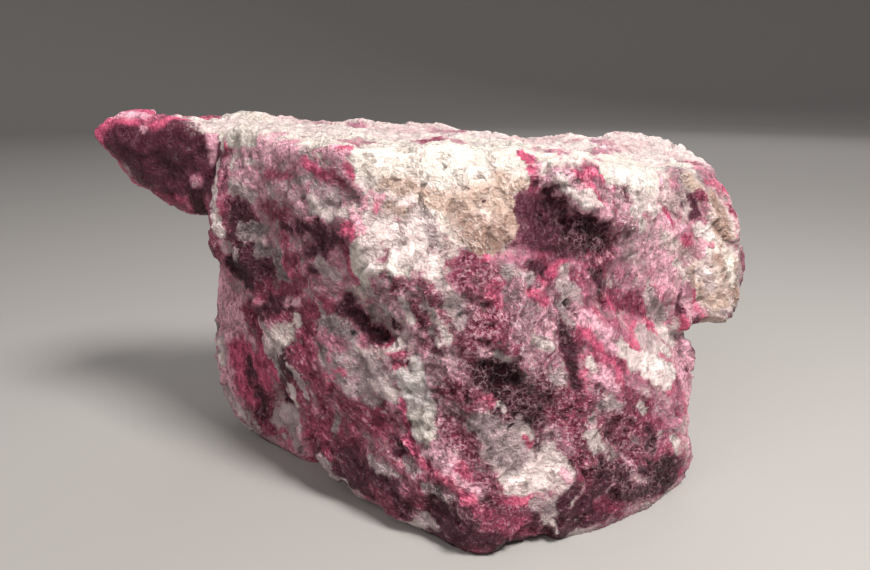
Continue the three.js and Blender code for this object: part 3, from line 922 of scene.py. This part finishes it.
# Crumbled rock has its crests every way. In fibrous and slanting rock they are drawn out along the threads.
crests = {}
for kind, way, drawn in (("even", (0, 0, 1), 1), ("fibre", (0.1, 0, 1), 0.3), ("slant", SLANT, 0.4)):
    turn = Vector((0, 0, 1)).rotation_difference(Vector(way)).inverted().to_euler()
    turned = node("VectorRotate", {"Vector": place, "Rotation": turn}, rotation_type="EULER_XYZ")
    along = node("VectorMath", {0: turned, 1: (1, 1, drawn)}, operation="MULTIPLY")
    crests[kind] = node("TexNoise", {"Vector": along, "Scale": 1 / CRUMB, "Detail": 4.0, "Roughness": 0.62,
                                     "Distortion": 0.15})
crumb = node("Mix", {0: held["fibre"], 2: crests["even"], 3: crests["fibre"]})
crumb = node("Mix", {0: held["slant"], 2: crumb, 3: crests["slant"]})
crumb = node("MapRange", {"Value": crumb, "From Min": 0.35, "From Max": 0.65}, clamp=False)

# How strongly it has crumbled: most where it is coarse, least where it split smooth.
bite = node("Math", {0: held["coarse"], 1: 0.4, 2: 0.75}, operation="MULTIPLY_ADD")
bite = node("Math", {0: held["smooth"], 1: -0.55, 2: bite}, operation="MULTIPLY_ADD")

# Every grain has a tone of its own.
grain = node("TexVoronoi", {"Vector": place, "Scale": 1 / GRAIN}, "Color").node
speck = node("SeparateColor", {"Color": grain.outputs["Color"]}, "Blue")
sugar = node("Mix", {0: 0.42, 2: crumb, 3: speck})

# Where both minerals grew together, chance decides which of them a grain is.
chance = node("MapRange", {"Value": wisps, "From Min": 0.32, "From Max": 0.68}, clamp=False)
chance = node("Mix", {0: 0.4, 2: chance, 3: sugar})
is_quartz = node("Math", {0: held["share"], 1: chance}, operation="SUBTRACT")
is_quartz = node("MapRange", {"Value": is_quartz, "From Min": -0.3, "From Max": 0.3},
                 interpolation_type="SMOOTHSTEP")

# The glassy chips that quartz breaks in, and the fine rims between them.
bent = node("TexNoise", {"Vector": place, "Scale": 1 / BEND, "Detail": 3.0}, "Color")
bent = node("VectorMath", {0: bent, 1: (BENT_BY, BENT_BY, BENT_BY), 2: place}, operation="MULTIPLY_ADD")
shard = node("TexVoronoi", {"Vector": bent, "Scale": 1 / SHARD}, "Color").node
rims = node("TexVoronoi", {"Vector": bent, "Scale": 1 / SHARD}, feature="DISTANCE_TO_EDGE")
rims = node("MapRange", {"Value": rims, "From Min": 0.0, "From Max": 0.06, "To Min": 1.0, "To Max": 0.0},
            interpolation_type="SMOOTHSTEP")

# Thulite is darkened in its gaps and lightened on its broken crests: painted shade and highlight that
# follow the crumbled relief, mixed with each grain's own tone and the clouds. Its pale crests are partly
# pale grain and partly painted highlight, and the densest rock has no pale crest.
lit = node("Mix", {0: 0.25, 2: sugar, 3: clouds})
lit = node("MapRange", {"Value": lit, "From Min": 0.15, "From Max": 0.82, "To Min": 0.34, "To Max": 1.5},
           interpolation_type="SMOOTHSTEP")
lit = node("Mix", {0: bite, 2: 0.95, 3: lit})
thulite_colour = node("VectorMath", {0: tones["thulite"], "Scale": lit}, operation="SCALE")
crest = node("Math", {0: held["coarse"], 1: 0.12, 2: sugar}, operation="MULTIPLY_ADD")
crest = node("MapRange", {"Value": crest, "From Min": 0.63, "From Max": 0.8},
             interpolation_type="SMOOTHSTEP")
strength = node("Math", {0: bite, 1: 0.95}, operation="MULTIPLY")
crest = node("Math", {0: crest, 1: strength}, operation="MULTIPLY")
open_rock = node("MapRange", {"Value": held["share"], "From Min": -0.15, "From Max": 0.35})
crest = node("Math", {0: crest, 1: open_rock}, operation="MULTIPLY")
lace = node("Math", {0: held["coarse"], 1: 0.3, 2: 0.06}, operation="MULTIPLY_ADD")
lace = node("Math", {0: rims, 1: lace}, operation="MULTIPLY")
crest = node("Math", {0: crest, 1: lace}, operation="MAXIMUM")
scattered = node("MapRange", {"Value": cloud, "From Min": 0.4, "From Max": 0.58, "To Min": 0.25})
crest = node("Math", {0: crest, 1: scattered}, operation="MULTIPLY")
thulite_colour = node("Mix", {0: crest, 6: thulite_colour, 7: PALE_GRAIN_AND_HIGHLIGHT}, 2, data_type="RGBA")

# Quartz is clouded, with a tone to each shard and cracks between them that catch the light. Like the
# thulite, it is darkened in the gaps and lightened on the crests of the crumbled relief, as painted shade
# and highlight.
shard_tone = node("SeparateColor", {"Color": shard.outputs["Color"]}, "Blue")
clear = node("Mix", {0: 0.3, 2: sugar, 3: shard_tone})
clear = node("Mix", {0: 0.35, 2: clear, 3: clouds})
clear = node("MapRange", {"Value": clear, "From Min": 0.12, "From Max": 0.88, "To Min": 0.64,
                          "To Max": 1.24}, interpolation_type="SMOOTHSTEP")
strength = node("Math", {0: bite, 1: 0.9}, operation="MULTIPLY")
clear = node("Mix", {0: strength, 2: 0.98, 3: clear})
quartz_colour = node("VectorMath", {0: tones["quartz"], "Scale": clear}, operation="SCALE")
cracked = node("MapRange", {"Value": wisps, "From Min": 0.4, "From Max": 0.6, "To Min": 0.1, "To Max": 0.6})
cracks = node("Math", {0: rims, 1: cracked}, operation="MULTIPLY")
quartz_colour = node("Mix", {0: cracks, 6: quartz_colour, 7: BRIGHT_CRACK}, 2, data_type="RGBA")

# Painted shade and highlight: the colour is lightened where the skin stands proud and darkened where it lies
# low, as light would fall on the relief.
colour = node("Mix", {0: is_quartz, 6: thulite_colour, 7: quartz_colour}, 2, data_type="RGBA")
near_painted_shade = node("MapRange", {"Value": held["proud"], "From Min": -1.0, "From Max": 1.0, "To Min": 0.7,
                              "To Max": 1.2})
wide_painted_shade = node("MapRange", {"Value": held["proud_wide"], "From Min": -1.0, "From Max": 1.0, "To Min": 0.8,
                              "To Max": 1.12})
tone = node("Math", {0: near_painted_shade, 1: wide_painted_shade}, operation="MULTIPLY")
colour = node("VectorMath", {0: colour, "Scale": tone}, operation="SCALE")

# Each grain and each shard is a small facet that leans its own way.
facets = {}
for kind, cell, where in (("grain", grain, place), ("shard", shard, bent)):
    lean = node("VectorMath", {0: cell.outputs["Color"], 1: (0.5, 0.5, 0.5)}, operation="SUBTRACT")
    off = node("VectorMath", {0: where, 1: cell.outputs["Position"]}, operation="SUBTRACT")
    facets[kind] = node("VectorMath", {0: lean, 1: off}, "Value", operation="DOT_PRODUCT")
depth = node("Math", {0: bite, 1: 0.5}, operation="MULTIPLY")
height = node("Math", {0: crumb, 1: depth}, operation="MULTIPLY")
sharp = node("MapRange", {"Value": held["smooth"], "To Min": 1.3, "To Max": 0.5})
glassy = node("MapRange", {"Value": is_quartz, "To Min": 1.0, "To Max": 0.45})
sharp = node("Math", {0: sharp, 1: glassy}, operation="MULTIPLY")
height = node("Math", {0: facets["grain"], 1: sharp, 2: height}, operation="MULTIPLY_ADD")
height = node("Math", {0: facets["shard"], 1: is_quartz, 2: height}, operation="MULTIPLY_ADD")
height = node("Math", {0: cloud, 1: 0.8, 2: height}, operation="MULTIPLY_ADD")
bump = node("Bump", {"Strength": 1.0, "Distance": 1.0 * MM, "Height": height})

# Quartz shines more than zoisite, and about one grain in six lies flat enough to flash.
gloss = node("MapRange", {"Value": is_quartz, "To Min": 0.46, "To Max": 0.24})
flash = node("SeparateColor", {"Color": grain.outputs["Color"]}, "Red")
gloss = node("MapRange", {"Value": flash, "From Min": 0.8, "From Max": 0.85, "To Min": gloss,
                          "To Max": 0.16})
glow = node("MapRange", {"Value": is_quartz, "To Min": 0.0, "To Max": 0.25})
shine = node("MapRange", {"Value": is_quartz, "To Min": 0.22, "To Max": 0.5})
surface = node("BsdfPrincipled", {"Base Color": colour, "Roughness": gloss, "Normal": bump, "IOR": 1.55,
                                  "Specular IOR Level": shine, "Subsurface Weight": glow,
                                  "Subsurface Radius": (1.0, 0.8, 0.75), "Subsurface Scale": 1.5 * MM})
node("OutputMaterial", {"Surface": surface})

lump.data.materials.clear()
lump.data.materials.append(rock)
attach(lump, "root")
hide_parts("thulite_stone")

# ==== The studio ====
# A round cove of pale matt paper: flat under the lump and curved up all round, to a rim well over it. The
# main lamp is close and high, in front and to the right, so its light fades towards the foot. Wide lamps
# further off fill front and back.
FLAT_RADIUS, BEND_RADIUS, RIM_HEIGHT = 1.2, 0.5, 0.75  # metres
COVE_SIDES = 96
bend = [(FLAT_RADIUS + BEND_RADIUS * math.sin(angle), BEND_RADIUS * (1 - math.cos(angle)))
        for angle in np.radians(range(0, 91, 10))]
profile = [*bend, (FLAT_RADIUS + BEND_RADIUS, RIM_HEIGHT)]
turns = [(math.cos(turn), math.sin(turn))
         for turn in np.linspace(0, 2 * math.pi, COVE_SIDES, endpoint=False)]
flat = tuple(range(COVE_SIDES))
curved = [(ring * COVE_SIDES + side, (ring + 1) * COVE_SIDES + side,
           (ring + 1) * COVE_SIDES + (side + 1) % COVE_SIDES, ring * COVE_SIDES + (side + 1) % COVE_SIDES)
          for ring in range(len(profile) - 1) for side in range(COVE_SIDES)]
paper_sheet = bpy.data.meshes.new("floor")
points = [(radius * x, radius * y, z) for radius, z in profile for x, y in turns]
paper_sheet.from_pydata(points, [], [flat, *curved])
paper_sheet.shade_smooth()
floor = bpy.data.objects.new("floor", paper_sheet)
bpy.context.scene.collection.objects.link(floor)
paper = bpy.data.materials.new("pale paper, matt")
paper.use_nodes = True
look = paper.node_tree.nodes["Principled BSDF"].inputs
look["Base Color"].default_value = (*to_linear("a5a3a1"), 1)
look["Roughness"].default_value = 0.9
paper_sheet.materials.append(paper)

MIDDLE_OF_LUMP = Vector((0, 0, 0.036))  # metres


def lamp(name, way, distance, size, watts, tint):
    """A soft square lamp that stands that way from the lump, some metres off, and looks at it."""
    data = bpy.data.lights.new(name, "AREA")
    data.size = size
    data.energy = watts
    data.color = to_linear(tint)
    light = bpy.data.objects.new(name, data)
    way = Vector(way).normalized()
    light.location = MIDDLE_OF_LUMP + way * distance
    light.rotation_euler = way.to_track_quat("Z", "Y").to_euler()
    bpy.context.scene.collection.objects.link(light)


lamp("main lamp", (0.36, -0.42, 0.83), 0.42, 0.13, 2.65, "fffaf4")
lamp("front fill", (-0.7, -1.0, 0.9), 1.0, 0.8, 3.0, "fffaf8")
lamp("back fill", (0.6, 1.0, 0.9), 1.1, 0.9, 3.6, "fffaf8")

air = bpy.data.worlds.new("studio air")
bpy.context.scene.world = air
air.use_nodes = True
air.node_tree.nodes["Background"].inputs["Color"].default_value = (*to_linear("ebe8e8"), 1)
air.node_tree.nodes["Background"].inputs["Strength"].default_value = 0.26

# The camera stands close to the front of the lump, a little over it, and looks down on it.
view = bpy.data.cameras.new("camera")
view.sensor_width = SENSOR
view.lens = LENS
view.clip_start = 0.01
camera = bpy.data.objects.new("camera", view)
camera.location = EYE * MM
camera.rotation_euler = (math.radians(90) - LOOKS_DOWN, 0, 0)
bpy.context.scene.collection.objects.link(camera)
bpy.context.scene.camera = camera
bpy.context.scene.view_settings.view_transform = "Standard"
